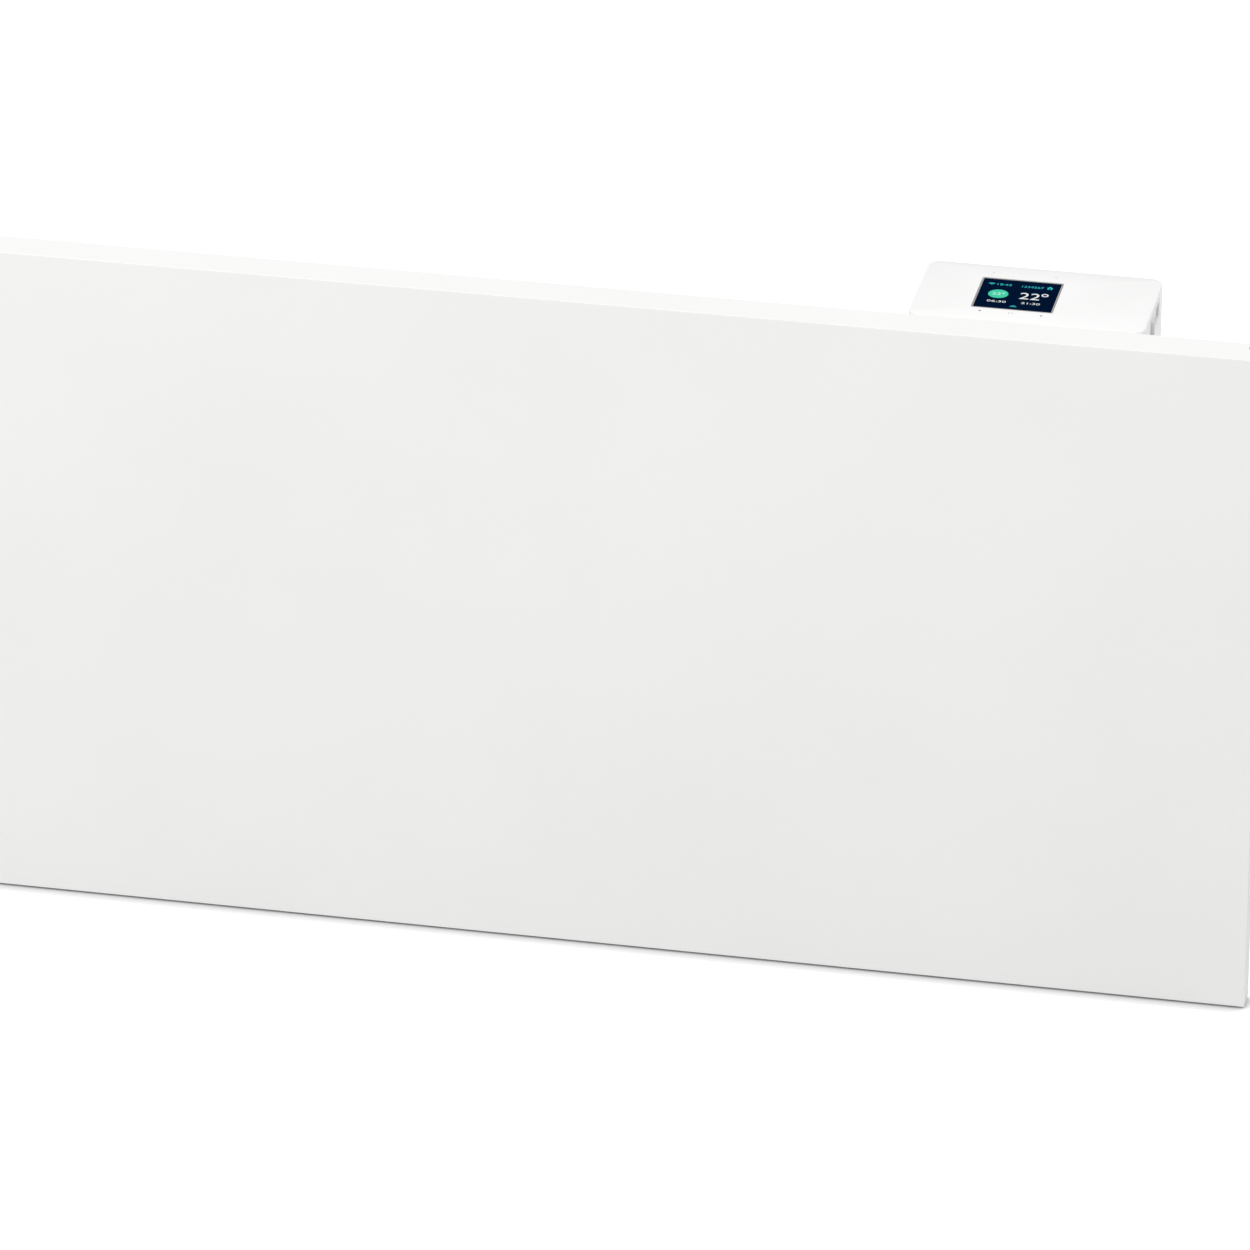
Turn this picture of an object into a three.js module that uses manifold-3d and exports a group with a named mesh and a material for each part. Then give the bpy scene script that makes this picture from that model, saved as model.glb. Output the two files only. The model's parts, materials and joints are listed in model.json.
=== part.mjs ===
// A wall panel convector heater: a folded front panel, a casing with its heating element, a control
// module with a slim rocker switch on its side, and a wall bracket with two turning latches.
// Millimetres. The front faces -Y, +X is to the right, +Z is up, and the wall is the plane y = 0.
import * as THREE from "three";
import { mergeVertices } from "three/addons/utils/BufferGeometryUtils.js";
import Module from "manifold-3d";

const wasm = await Module();
wasm.setup();

// ---- Driving dimensions. Heights are measured up from the lower edge of the front panel. ----
const MOUNT_HEIGHT = 250;
const GAP = 0.3;
const SHEET = 1.2;

const PANEL_WIDTH = 736;
const PANEL_HEIGHT = 400;
const PANEL_FRONT = -98;
const PANEL_RADIUS = 1.2;
const EDGE_DEPTH = 14.4;
const RETURN_DEPTH = 22.3;
const RETURN_RADIUS = 0.5;
const TOP_RELIEF = 12;
const BOTTOM_RELIEF = 19.5;
const LIP_HEIGHT = 8;

const CASE_WIDTH = 660;
const CASE_BOTTOM = 14;
const CASE_TOP = 350;
const CASE_FRONT = -81;
const CASE_REAR = -12;
const CASE_RIM = 10;
const PRESSED_RIB = { heights: [60, 185, 290], length: 510, width: 14 };

const BRACKET_BOTTOM = 40;
const BRACKET_TOP = 330;
const BRACKET_FRONT = -86;
const BRACKET_REAR = -60;
const SIDE_SCREW_Y = -70;
const SIDE_SCREW_HEIGHTS = [90, 280];
const SIDES = [["left", -1], ["right", 1]];

const SLOT = { rows: [-70, -58, -46], length: 20, width: 5, corner: 1.6, pitch: 28 };
const INLET_SLOTS = { from: -302, count: 16 };
const SENSOR_SLOTS = { from: 300, count: 1 };

const GRILLE = { left: -322, right: 146, front: -76, rear: -22, depth: 8, vanes: 7, ribs: 5 };
const GRILLE_FLANGE = 4;
const GRILLE_WALL = 1.4;
const VANE = { lean: 1.9, half: 0.7 };

const ELEMENT_Y = -46;
const ELEMENT_Z = 86;
const ELEMENT_LEFT = -282;
const ELEMENT_RIGHT = 112;
const ELEMENT_BRACKET_OFFSET = 7;
const SHEATH_RADIUS = 4;
const PIN_REACH = 22;
const BUSH_RADIUS = 6.7;
const ARM_LENGTH = 29;
const ARM_ANGLE = 36;
const ARM_RIBS = 4;

const PARTITION_X = 155;
const LOWER_LEAD = { y: -24, z: 28 };
const LEAD_RADIUS = 1.5;
const SENSOR_LEAD_RADIUS = 1.1;
const SUPPLY_LEAD_RADIUS = 2.6;
const LEAD_TOP = 321;
const LIVE_EXIT = [198, -46];
const NEUTRAL_EXIT = [214, -34];
const SENSOR_EXIT = [262, -46];
const SUPPLY_EXIT = [238, -38];
const GROMMET_RADIUS = 6;
const SENSOR = { x: 300, y: -64, z: 34.5 };
const CUTOUT = { x: -60, z: 320 };
const TERMINAL = { x: 244, z: 98 };
const EARTH = { x: 290, z: 100 };

const MODULE_X = 231.15;
const MODULE_Y = -38.4;
const MODULE_WIDTH = 131.7;
const MODULE_DEPTH = 73.8;
const MODULE_WALL = 2;
const MODULE_DROP = 49.7;
const MODULE_FRONT_RADIUS = 7;
const MODULE_REAR_RADIUS = 7;
const MODULE_EDGE = 0.6;
const WELL = { left: -57.2, right: 57.2, front: -29.3, rear: 14.1, floor: -82 };
const BOARD_TOP = WELL.floor + 5.6;

const DISPLAY = { x: -10.25, y: -0.5, width: 45, depth: 40.2, border: 0.7 };
const SWITCH = { y: 3.9, z: -9.4, length: 28.7, height: 8, bezel: 1.6, depth: 21.5 };
const BEZEL_THICKNESS = 1;
const ROCKER_ANGLE = 6.5;
const ROCKER_CREST = 2.2;
const ROCKER_REACH = 13.6;
const ROCKER_PIVOT_INSET = 3.4;

const GLAND = { x: 262, y: -44, bore: 4.2, neck: 8, flange: 11 };

const RAIL = { halfWidth: 150, halfHeight: 22, thickness: 2, flange: 7 };
const ARM_X = 130;
const ARM_WIDTH = 26;
const ARM_SHEET = 1.5;
const ARM_BACK = -2.3;
const FOOT_REACH = 26;
const LATCH_Y = -6;
const LATCH_BOSS = 5.5;
const LATCH_PEG_REACH = 10.6;
const LATCH_PEG_RADIUS = 2;
const PIVOT_HOLE_RADIUS = 2.3;
const TAB_WIDTH = 8;
const TAB_HEIGHT = 5;
const RIVET_RADIUS = 2;
const RIVET_OFFSETS = [-12, 12];
const BUMPER = { x: 290, z: 40, radius: 9, stem: 3 };

// ---- Finishes ----
function finish(color, roughness, metalness) {
  return new THREE.MeshStandardMaterial({ color, roughness, metalness });
}

const white_steel = finish(0xf1f1ef, 0.55, 0);
const white_plastic = finish(0xf6f6f5, 0.5, 0);
const pale_plastic = finish(0xdcdddc, 0.5, 0);
const zinc_steel = finish(0xb9bdc0, 0.45, 0.9);
const raw_aluminium = finish(0xc9ccce, 0.4, 0.95);
const dark_steel = finish(0x5f6468, 0.45, 0.9);
const ceramic_white = finish(0xe8e3d6, 0.6, 0);
const screen_glass = finish(0x0a1a3c, 0.12, 0);
const frame_grey = finish(0x9a9c9e, 0.4, 0.2);
const black_plastic = finish(0x1c1d1f, 0.5, 0);
const board_green = finish(0x1f5b3a, 0.55, 0);
const silicone_red = finish(0xa23a2f, 0.6, 0);
const silicone_blue = finish(0x3a5fa8, 0.6, 0);
const grey_rubber = finish(0x6d6f71, 0.85, 0);

// ---- Solids from three.js geometry ----
const vector = (x, y, z) => new THREE.Vector3(x, y, z);
const TO_X = new THREE.Matrix4().makeBasis(vector(0, 1, 0), vector(0, 0, 1), vector(1, 0, 0));
const TO_Y = new THREE.Matrix4().makeBasis(vector(1, 0, 0), vector(0, 0, 1), vector(0, -1, 0));

// A closed geometry as a manifold solid: shared vertices merged, collapsed faces dropped.
function solid(geometry) {
  const bare = geometry.clone();
  bare.deleteAttribute("normal");
  bare.deleteAttribute("uv");
  const merged = mergeVertices(bare, 1e-4);
  const corners = merged.index.array;
  const kept = [];
  for (let i = 0; i < corners.length; i += 3) {
    const [a, b, c] = [corners[i], corners[i + 1], corners[i + 2]];
    if (a !== b && b !== c && c !== a) kept.push(a, b, c);
  }
  const vertProperties = merged.attributes.position.array;
  return new wasm.Manifold(new wasm.Mesh({ numProp: 3, vertProperties, triVerts: new Uint32Array(kept) }));
}

const join = (first, ...others) => others.reduce((whole, next) => whole.add(next), first);
const cut = (first, ...tools) => tools.reduce((whole, tool) => whole.subtract(tool), first);

function box(x0, x1, y0, y1, z0, z1) {
  const geometry = new THREE.BoxGeometry(x1 - x0, y1 - y0, z1 - z0);
  geometry.translate((x0 + x1) / 2, (y0 + y1) / 2, (z0 + z1) / 2);
  return solid(geometry);
}

function extrude(shape, depth, segments) {
  return new THREE.ExtrudeGeometry(shape, { depth, bevelEnabled: false, curveSegments: segments });
}

// A shape drawn in y and z, run along X.
function alongX(shape, from, to, segments = 6) {
  const geometry = extrude(shape, to - from, segments).applyMatrix4(TO_X);
  return solid(geometry.translate(from, 0, 0));
}

// A shape drawn in x and z, run along Y.
function alongY(shape, from, to, segments = 6) {
  const geometry = extrude(shape, to - from, segments).applyMatrix4(TO_Y);
  return solid(geometry.translate(0, to, 0));
}

// A shape drawn in x and y, run along Z.
function alongZ(shape, from, to, segments = 6) {
  return solid(extrude(shape, to - from, segments).translate(0, 0, from));
}

function outline(points) {
  return new THREE.Shape(points.map(([a, b]) => new THREE.Vector2(a, b)));
}

// A rectangle with a radius at each corner, from lower left and anticlockwise.
function roundedRectangle(x0, x1, y0, y1, radii) {
  const [lowerLeft, lowerRight, upperRight, upperLeft] = Array.isArray(radii) ? radii : Array(4).fill(radii);
  const shape = new THREE.Shape();
  shape.moveTo(x0 + lowerLeft, y0);
  shape.lineTo(x1 - lowerRight, y0);
  shape.absarc(x1 - lowerRight, y0 + lowerRight, lowerRight, -Math.PI / 2, 0, false);
  shape.lineTo(x1, y1 - upperRight);
  shape.absarc(x1 - upperRight, y1 - upperRight, upperRight, 0, Math.PI / 2, false);
  shape.lineTo(x0 + upperLeft, y1);
  shape.absarc(x0 + upperLeft, y1 - upperLeft, upperLeft, Math.PI / 2, Math.PI, false);
  shape.lineTo(x0, y0 + lowerLeft);
  shape.absarc(x0 + lowerLeft, y0 + lowerLeft, lowerLeft, Math.PI, Math.PI * 1.5, false);
  return shape;
}

function obround(x, y, length, width) {
  const radius = Math.min(length, width) / 2 - 0.01;
  return roundedRectangle(x - length / 2, x + length / 2, y - width / 2, y + width / 2, radius);
}

function disc(x, y, radius) {
  return new THREE.Shape().absarc(x, y, radius, 0, Math.PI * 2, false);
}

function hexagon(x, y, radius) {
  const corner = (i) => [x + radius * Math.cos((i * Math.PI) / 3), y + radius * Math.sin((i * Math.PI) / 3)];
  return outline([0, 1, 2, 3, 4, 5].map(corner));
}

// A closed profile of [radius, height] pairs turned about the Z axis.
function turned(profile, segments = 16) {
  const points = profile.map(([radius, height]) => new THREE.Vector2(radius, height));
  const geometry = new THREE.LatheGeometry(points, segments);
  geometry.applyMatrix4(new THREE.Matrix4().makeRotationX(Math.PI / 2));
  return solid(geometry);
}

// A plate pressed out of the flat: a flat-topped field with sloping flanks, drawn in x and z.
function pressing(x0, x1, z0, z1, rise) {
  const shape = roundedRectangle(x0 + rise, x1 - rise, z0 + rise, z1 - rise, 6);
  const geometry = new THREE.ExtrudeGeometry(shape, {
    depth: rise,
    bevelThickness: rise,
    bevelSize: rise,
    bevelSegments: 1,
    curveSegments: 3,
  });
  geometry.applyMatrix4(TO_Y);
  return solid(geometry);
}

function surface(body) {
  const { vertProperties, triVerts } = body.getMesh();
  const geometry = new THREE.BufferGeometry();
  geometry.setAttribute("position", new THREE.BufferAttribute(vertProperties, 3));
  geometry.setIndex(new THREE.BufferAttribute(triVerts, 1));
  const faceted = geometry.toNonIndexed();
  faceted.computeVertexNormals();
  return faceted;
}

function piece(parent, name, body, material) {
  const mesh = new THREE.Mesh(surface(body), material);
  mesh.name = name;
  parent.add(mesh);
  return mesh;
}

function subgroup(parent, x, y, z) {
  const group = new THREE.Group();
  group.position.set(x, y, z);
  parent.add(group);
  return group;
}

// A pan-head screw. Its head sits on z = 0 and its shank points down.
function screwBody(headRadius, headHeight, shankRadius, length) {
  const profile = [
    [0, -length],
    [shankRadius, -length + shankRadius * 0.7],
    [shankRadius, 0],
    [headRadius, 0],
    [headRadius, headHeight * 0.4],
    [headRadius * 0.65, headHeight],
    [0, headHeight],
  ];
  return turned(profile, 10);
}

// ---- Front panel and what carries it ----
function frontPanel() {
  const half = PANEL_WIDTH / 2;
  const r = PANEL_RADIUS;
  const face = roundedRectangle(-half + r, half - r, r, PANEL_HEIGHT - r, 0.01);
  const block = new THREE.ExtrudeGeometry(face, {
    depth: EDGE_DEPTH,
    bevelThickness: r,
    bevelSize: r,
    bevelSegments: 3,
    curveSegments: 1,
  });
  block.applyMatrix4(TO_Y);
  block.translate(0, PANEL_FRONT + EDGE_DEPTH + r, 0);
  const edgeRear = PANEL_FRONT + EDGE_DEPTH;
  const inside = [-half + SHEET, half - SHEET, PANEL_FRONT + SHEET, 0, SHEET, PANEL_HEIGHT - SHEET];
  const tray = cut(
    solid(block),
    box(-half - 5, half + 5, edgeRear, edgeRear + 20, -5, PANEL_HEIGHT + 5),
    box(...inside),
  );
  return join(tray, deepReturn(1), deepReturn(-1));
}

// The deeper return along the middle of the top (side 1) or bottom (side -1) edge, with its stiffening lip.
function deepReturn(side) {
  const edge = side > 0 ? PANEL_HEIGHT : 0;
  const front = PANEL_FRONT + EDGE_DEPTH - 2;
  const rear = PANEL_FRONT + RETURN_DEPTH;
  const r = RETURN_RADIUS;
  const inward = (distance) => edge - side * distance;
  const shape = new THREE.Shape();
  shape.moveTo(front, edge);
  shape.lineTo(rear - r, edge);
  shape.quadraticCurveTo(rear, edge, rear, inward(r));
  shape.lineTo(rear, inward(LIP_HEIGHT));
  shape.lineTo(rear - SHEET, inward(LIP_HEIGHT));
  shape.lineTo(rear - SHEET, inward(SHEET));
  shape.lineTo(front, inward(SHEET));
  shape.closePath();
  const reach = PANEL_WIDTH / 2 - (side > 0 ? TOP_RELIEF : BOTTOM_RELIEF);
  return alongX(shape, -reach, reach, 4);
}

// The folded strip that carries the panel on one side of the casing.
function sideBracket(side) {
  const inner = CASE_WIDTH / 2 + GAP;
  const outer = PANEL_WIDTH / 2 - SHEET - GAP;
  const tip = PANEL_FRONT + SHEET + GAP;
  const profile = outline([
    [side * inner, BRACKET_REAR],
    [side * inner, BRACKET_FRONT],
    [side * (outer - SHEET), BRACKET_FRONT],
    [side * (outer - SHEET), tip],
    [side * outer, tip],
    [side * outer, BRACKET_FRONT + SHEET],
    [side * (inner + SHEET), BRACKET_FRONT + SHEET],
    [side * (inner + SHEET), BRACKET_REAR],
  ]);
  const strip = alongZ(profile, BRACKET_BOTTOM, BRACKET_TOP);
  return SIDE_SCREW_HEIGHTS.reduce((made, height) => cut(made, sideHole(side, height)), strip);
}

function sideHole(side, height) {
  const middle = (side * CASE_WIDTH) / 2;
  return alongX(disc(SIDE_SCREW_Y, height, 2.3), middle - 6, middle + 6, 4);
}

// ---- Casing ----
function rearCasing() {
  const half = CASE_WIDTH / 2;
  const shell = cut(
    box(-half, half, CASE_FRONT, CASE_REAR, CASE_BOTTOM, CASE_TOP),
    box(
      -half + SHEET,
      half - SHEET,
      CASE_FRONT + SHEET,
      CASE_REAR - SHEET,
      CASE_BOTTOM + SHEET,
      CASE_TOP - SHEET,
    ),
    box(
      -half + CASE_RIM,
      half - CASE_RIM,
      CASE_FRONT - 1,
      CASE_FRONT + 5,
      CASE_BOTTOM + CASE_RIM,
      CASE_TOP - CASE_RIM,
    ),
  );
  const pressed = PRESSED_RIB.heights.reduce(pressRib, shell);
  const holes = [
    ...slotTools(INLET_SLOTS),
    ...slotTools(SENSOR_SLOTS),
    grilleOpening(),
    wellOpening(),
    alongZ(disc(GLAND.x, GLAND.y, GLAND.neck + GAP), CASE_BOTTOM - 1, CASE_BOTTOM + 3, 7),
    ...[-1, 1].map(footSlot),
    ...[-1, 1].map(bumperHole),
    ...[-1, 1].flatMap((side) => SIDE_SCREW_HEIGHTS.map((height) => sideHole(side, height))),
    ...baffleCorners().map(([x, z]) => alongY(disc(x, z, 1.9), CASE_FRONT - 1, CASE_FRONT + 3, 4)),
  ];
  return join(cut(pressed, ...holes), latchTab(-1), latchTab(1));
}

// A shallow horizontal rib pressed into the back plate, sunk on the outside and proud on the inside.
function pressRib(shell, height) {
  const { length, width } = PRESSED_RIB;
  const inside = CASE_REAR - SHEET;
  const backing = alongY(obround(0, height, length + 2, width + 2), inside - SHEET, inside + 0.3, 2);
  const sunk = alongY(obround(0, height, length, width), inside, CASE_REAR + 1, 2);
  return cut(join(shell, backing), sunk);
}

// The air inlet: rows of short slots.
function slotTools({ from, count }) {
  const columns = Array.from({ length: count }, (_, i) => from + i * SLOT.pitch);
  const places = SLOT.rows.flatMap((y) => columns.map((x) => [x, y]));
  return places.map(([x, y]) => alongZ(clippedSlot(x, y), CASE_BOTTOM - 1, CASE_BOTTOM + SHEET + 1));
}

// One slot's outline, a rectangle with its corners clipped.
function clippedSlot(x, y) {
  const [right, top, clip] = [SLOT.length / 2, SLOT.width / 2, SLOT.corner];
  return outline([
    [x - right + clip, y - top],
    [x + right - clip, y - top],
    [x + right, y - top + clip],
    [x + right, y + top - clip],
    [x + right - clip, y + top],
    [x - right + clip, y + top],
    [x - right, y + top - clip],
    [x - right, y - top + clip],
  ]);
}

function grilleOpening() {
  const { left, right, front, rear } = GRILLE;
  const inset = GRILLE_FLANGE;
  return box(left + inset, right - inset, front + inset, rear - inset, CASE_TOP - 3, CASE_TOP + 3);
}

function wellOpening() {
  return box(
    MODULE_X + WELL.left - GAP,
    MODULE_X + WELL.right + GAP,
    MODULE_Y + WELL.front - GAP,
    MODULE_Y + WELL.rear + GAP,
    CASE_TOP - 3,
    CASE_TOP + 3,
  );
}

function footSlot(side) {
  const x = side * ARM_X;
  return box(x - 13, x + 13, -FOOT_REACH - 1.5, -FOOT_REACH + 2.5, CASE_BOTTOM - 1, CASE_BOTTOM + 3);
}

function bumperHole(side) {
  return alongY(disc(side * BUMPER.x, BUMPER.z, BUMPER.stem + GAP), CASE_REAR - 3, CASE_REAR + 1, 4);
}

function baffleCorners() {
  const x = CASE_WIDTH / 2 - CASE_RIM / 2;
  return [-x, x].flatMap((place) => [CASE_BOTTOM + 5, CASE_TOP - 5].map((height) => [place, height]));
}

// The upright tab on the top rear edge that a latch hooks round.
function latchTab(side) {
  const x = side * ARM_X;
  const half = TAB_WIDTH / 2;
  return box(x - half, x + half, CASE_REAR - SHEET, CASE_REAR, CASE_TOP - 0.5, CASE_TOP + TAB_HEIGHT);
}

function innerBaffle() {
  const half = CASE_WIDTH / 2 - 0.6;
  const rear = CASE_FRONT - GAP;
  const plate = box(-half, half, rear - SHEET, rear, CASE_BOTTOM + 0.6, CASE_TOP - 0.6);
  const field = pressing(-300, 300, 44, 320, 3).translate([0, rear + 0.9, 0]);
  const hollow = pressing(-300, 300, 44, 320, 3).translate([0, rear + SHEET + 0.9, 0]);
  const holes = baffleCorners().map(([x, z]) => alongY(disc(x, z, 2.1), rear - 5, rear + 5, 4));
  const behind = box(-half, half, rear, rear + 30, 0, PANEL_HEIGHT);
  return cut(join(plate, field), hollow, behind, ...holes);
}

// ---- Outlet grille: a flanged frame with slanting vanes between cross ribs ----
function outletGrille() {
  const { left, right, front, rear, depth, vanes, ribs } = GRILLE;
  const bottom = CASE_TOP - depth;
  const inset = GRILLE_FLANGE + GAP + 0.1;
  const wall = GRILLE_WALL;
  const seat = CASE_TOP + GAP;
  const flange = alongZ(roundedRectangle(left, right, front, rear, 4), seat, seat + SHEET, 2);
  const skirt = box(left + inset, right - inset, front + inset, rear - inset, bottom, CASE_TOP + 0.6);
  const inner = [left + inset + wall, right - inset - wall, front + inset + wall, rear - inset - wall];
  const frame = cut(join(flange, skirt), box(...inner, bottom - 1, CASE_TOP + 5));
  const pitch = (inner[3] - inner[2]) / (vanes + 1);
  const span = (inner[1] - inner[0]) / (ribs + 1);
  const parts = [];
  for (let i = 1; i <= vanes; i++) {
    parts.push(grilleVane(inner[0] - 0.7, inner[1] + 0.7, inner[2] + i * pitch, bottom + 0.4));
  }
  for (let i = 1; i <= ribs; i++) {
    const x = inner[0] + i * span;
    parts.push(box(x - 0.9, x + 0.9, inner[2] - 0.7, inner[3] + 0.7, bottom + 1, CASE_TOP - 1.5));
  }
  return join(frame, ...parts);
}

function grilleVane(from, to, y, bottom) {
  const { lean, half } = VANE;
  const top = bottom + GRILLE.depth;
  const section = outline([
    [y + lean - half, bottom],
    [y + lean + half, bottom],
    [y - lean + half, top],
    [y - lean - half, top],
  ]);
  return alongX(section, from, to);
}

// ---- Heating element: an extruded aluminium X with ribbed arms round a sheathed rod ----
function elementSection() {
  const points = [];
  const angles = [90 - ARM_ANGLE, 90 + ARM_ANGLE, 270 - ARM_ANGLE, 270 + ARM_ANGLE];
  angles.forEach((angle) => points.push(...ribbedArm(THREE.MathUtils.degToRad(angle))));
  const section = outline(points);
  section.holes.push(new THREE.Path().absarc(0, 0, SHEATH_RADIUS + GAP, 0, Math.PI * 2, true));
  return section;
}

// One arm's outline, out along its right side and back along its left, with square ribs on both.
function ribbedArm(angle) {
  const start = 7.5;
  const step = (ARM_LENGTH - start) / ARM_RIBS;
  const half = (distance) => 1.7 - (0.7 * distance) / ARM_LENGTH;
  const side = [[start, half(start) + 0.6]];
  for (let i = 0; i < ARM_RIBS; i++) {
    const root = start + (i + 0.55) * step;
    const tip = start + (i + 1) * step;
    const rib = 3.4 - i * 0.5;
    side.push([root, half(root)], [root, half(root) + rib], [tip, half(tip) + rib]);
    if (i < ARM_RIBS - 1) side.push([tip, half(tip)]);
  }
  const back = [...side].reverse().map(([distance, offset]) => [distance, -offset]);
  const loop = [...side.map(([distance, offset]) => [distance, -offset]), ...back.map(([d, o]) => [d, -o])];
  const [c, s] = [Math.cos(angle), Math.sin(angle)];
  return loop.map(([distance, offset]) => [distance * c - offset * s, distance * s + offset * c]);
}

function elementFins() {
  return alongX(elementSection(), ELEMENT_LEFT, ELEMENT_RIGHT, 6);
}

// The rod inside the element, with a bare pin at each end.
function elementSheath() {
  const rod = alongX(disc(0, 0, SHEATH_RADIUS), ELEMENT_LEFT - 14, ELEMENT_RIGHT + 14, 6);
  const pins = alongX(disc(0, 0, LEAD_RADIUS), ELEMENT_LEFT - PIN_REACH, ELEMENT_RIGHT + PIN_REACH, 4);
  return join(rod, pins);
}

const elementBracketX = (side) =>
  side > 0 ? ELEMENT_RIGHT + ELEMENT_BRACKET_OFFSET : ELEMENT_LEFT - ELEMENT_BRACKET_OFFSET;

function elementBracket(side) {
  const x = elementBracketX(side);
  const foot = CASE_BOTTOM + SHEET + GAP - ELEMENT_Z;
  const shape = roundedRectangle(-15, 15, foot, 16, [0.01, 0.01, 12, 12]);
  const upright = alongX(shape, x - SHEET / 2, x + SHEET / 2, 4);
  const sole = box(Math.min(x, x + side * 14), Math.max(x, x + side * 14), -15, 15, foot, foot + SHEET);
  return cut(join(upright, sole), alongX(disc(0, 0, BUSH_RADIUS + GAP), x - 2, x + 2, 7));
}

// The ceramic bush that holds the rod in its bracket.
function elementBush(side) {
  const bore = SHEATH_RADIUS + GAP;
  const profile = [
    [bore, -3],
    [BUSH_RADIUS, -3],
    [BUSH_RADIUS, 0.9],
    [BUSH_RADIUS + 2.3, 0.9],
    [BUSH_RADIUS + 2.3, 4],
    [bore, 4],
    [bore, -3],
  ];
  return turned(profile, 14)
    .rotate([0, side * 90, 0])
    .translate([elementBracketX(side), 0, 0]);
}

// ---- Inner plates, safety cut-out, sensor and wiring ----
function partitionPlate() {
  const bottom = CASE_BOTTOM + SHEET + GAP;
  const top = CASE_TOP - SHEET - GAP;
  const upright = box(PARTITION_X, PARTITION_X + SHEET, CASE_FRONT + 1.6, CASE_REAR - 3.8, bottom, top);
  const sole = box(PARTITION_X, PARTITION_X + 14, CASE_FRONT + 4, -30, bottom, bottom + SHEET);
  const grommets = [
    [ELEMENT_Y, ELEMENT_Z],
    [LOWER_LEAD.y, LOWER_LEAD.z],
  ].map(([y, z]) => alongX(disc(y, z, GROMMET_RADIUS), PARTITION_X - 2, PARTITION_X + 4, 6));
  return cut(join(upright, sole), ...grommets);
}

// A silicone grommet round a hole in the partition, with a groove that takes the sheet.
function grommet() {
  const lip = 2.4;
  const half = SHEET / 2 + GAP;
  const profile = [
    [LEAD_RADIUS + GAP, -half - 1.4],
    [GROMMET_RADIUS + lip - 1, -half - 1.4],
    [GROMMET_RADIUS + lip, -half],
    [GROMMET_RADIUS - GAP, -half],
    [GROMMET_RADIUS - GAP, half],
    [GROMMET_RADIUS + lip, half],
    [GROMMET_RADIUS + lip - 1, half + 1.4],
    [LEAD_RADIUS + GAP, half + 1.4],
    [LEAD_RADIUS + GAP, -half - 1.4],
  ];
  return turned(profile, 12).rotate([0, 90, 0]);
}

// A lead: a round section drawn along a smooth route.
function lead(points, radius, steps) {
  const route = new THREE.CatmullRomCurve3(points.map(([x, y, z]) => vector(x, y, z)));
  const options = { steps, extrudePath: route, bevelEnabled: false, curveSegments: 3 };
  return solid(new THREE.ExtrudeGeometry(disc(0, 0, radius), options));
}

function liveLead() {
  const end = ELEMENT_RIGHT + PIN_REACH + GAP;
  return lead(
    [
      [...LIVE_EXIT, LEAD_TOP],
      [...LIVE_EXIT, 250],
      [197, ELEMENT_Y, 150],
      [190, ELEMENT_Y, 104],
      [174, ELEMENT_Y, ELEMENT_Z + 2],
      [PARTITION_X, ELEMENT_Y, ELEMENT_Z],
      [end, ELEMENT_Y, ELEMENT_Z],
    ],
    LEAD_RADIUS,
    20,
  );
}

function neutralLead() {
  const { y, z } = LOWER_LEAD;
  const end = ELEMENT_LEFT - PIN_REACH - 2 * GAP;
  return lead(
    [
      [...NEUTRAL_EXIT, LEAD_TOP],
      [...NEUTRAL_EXIT, 200],
      [212, -32, 80],
      [200, -25, 42],
      [176, y, z + 1],
      [PARTITION_X, y, z],
      [0, y, z],
      [-280, y, z],
      [-308, y - 4, z + 8],
      [-319, -36, 62],
      [-316, -45, 80],
      [end - 4, ELEMENT_Y, ELEMENT_Z],
      [end, ELEMENT_Y, ELEMENT_Z],
    ],
    LEAD_RADIUS,
    42,
  );
}

function sensorLead() {
  return lead(
    [
      [...SENSOR_EXIT, LEAD_TOP],
      [264, -50, 220],
      [284, -60, 120],
      [SENSOR.x, SENSOR.y, 60],
      [SENSOR.x, SENSOR.y, SENSOR.z + 6.5],
    ],
    SENSOR_LEAD_RADIUS,
    14,
  );
}

function supplyLead() {
  return lead(
    [
      [TERMINAL.x, -23, TERMINAL.z + 9.6],
      [TERMINAL.x, -24, 150],
      [240, -30, 220],
      [...SUPPLY_EXIT, LEAD_TOP],
    ],
    SUPPLY_LEAD_RADIUS,
    10,
  );
}

// A glass-bead sensor in its sleeve, upright above the inlet slots.
function roomSensor() {
  const profile = [
    [0, -14],
    [1.6, -13],
    [2.2, -11],
    [2.2, 6],
    [0, 6],
  ];
  return turned(profile, 12);
}

function sensorClip() {
  const ring = cut(alongZ(disc(0, 0, 4), 0, 6, 6), alongZ(disc(0, 0, 2.5), -1, 7, 6));
  const post = box(3, 5.5, -3, 3, -12.2, 6);
  const sole = box(3, 15, -3, 3, -12.2, -11);
  return join(ring, post, sole);
}

// The disc thermostat that stops the heater when the air outlet is covered, drawn facing +Z.
function thermalCutout() {
  const body = turned([
    [0, 0],
    [8, 0],
    [8, 5],
    [6.5, 6.5],
    [6.5, 9],
    [0, 9],
  ]);
  return join(body, box(-10, -7, -2.5, 2.5, 2, 3), box(7, 10, -2.5, 2.5, 2, 3));
}

function terminalBlock() {
  const block = box(-15, 15, -6.5, 6.5, -9, 9);
  const ways = [-9.5, 0, 9.5];
  const bores = ways.map((x) => alongZ(disc(x, 0, 2.9), -10, 10, 4));
  const screws = ways.map((x) => alongY(disc(x, 0, 2), -7.5, -3, 4));
  return cut(block, ...bores, ...screws);
}

function earthStud() {
  const stud = alongY(disc(0, 0, 2.5), -11, 0, 4);
  const nut = alongY(hexagon(0, 0, 5), -6, -2);
  const washer = alongY(disc(0, 0, 6), -2.2, -0.8, 5);
  return join(stud, nut, washer);
}

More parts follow.
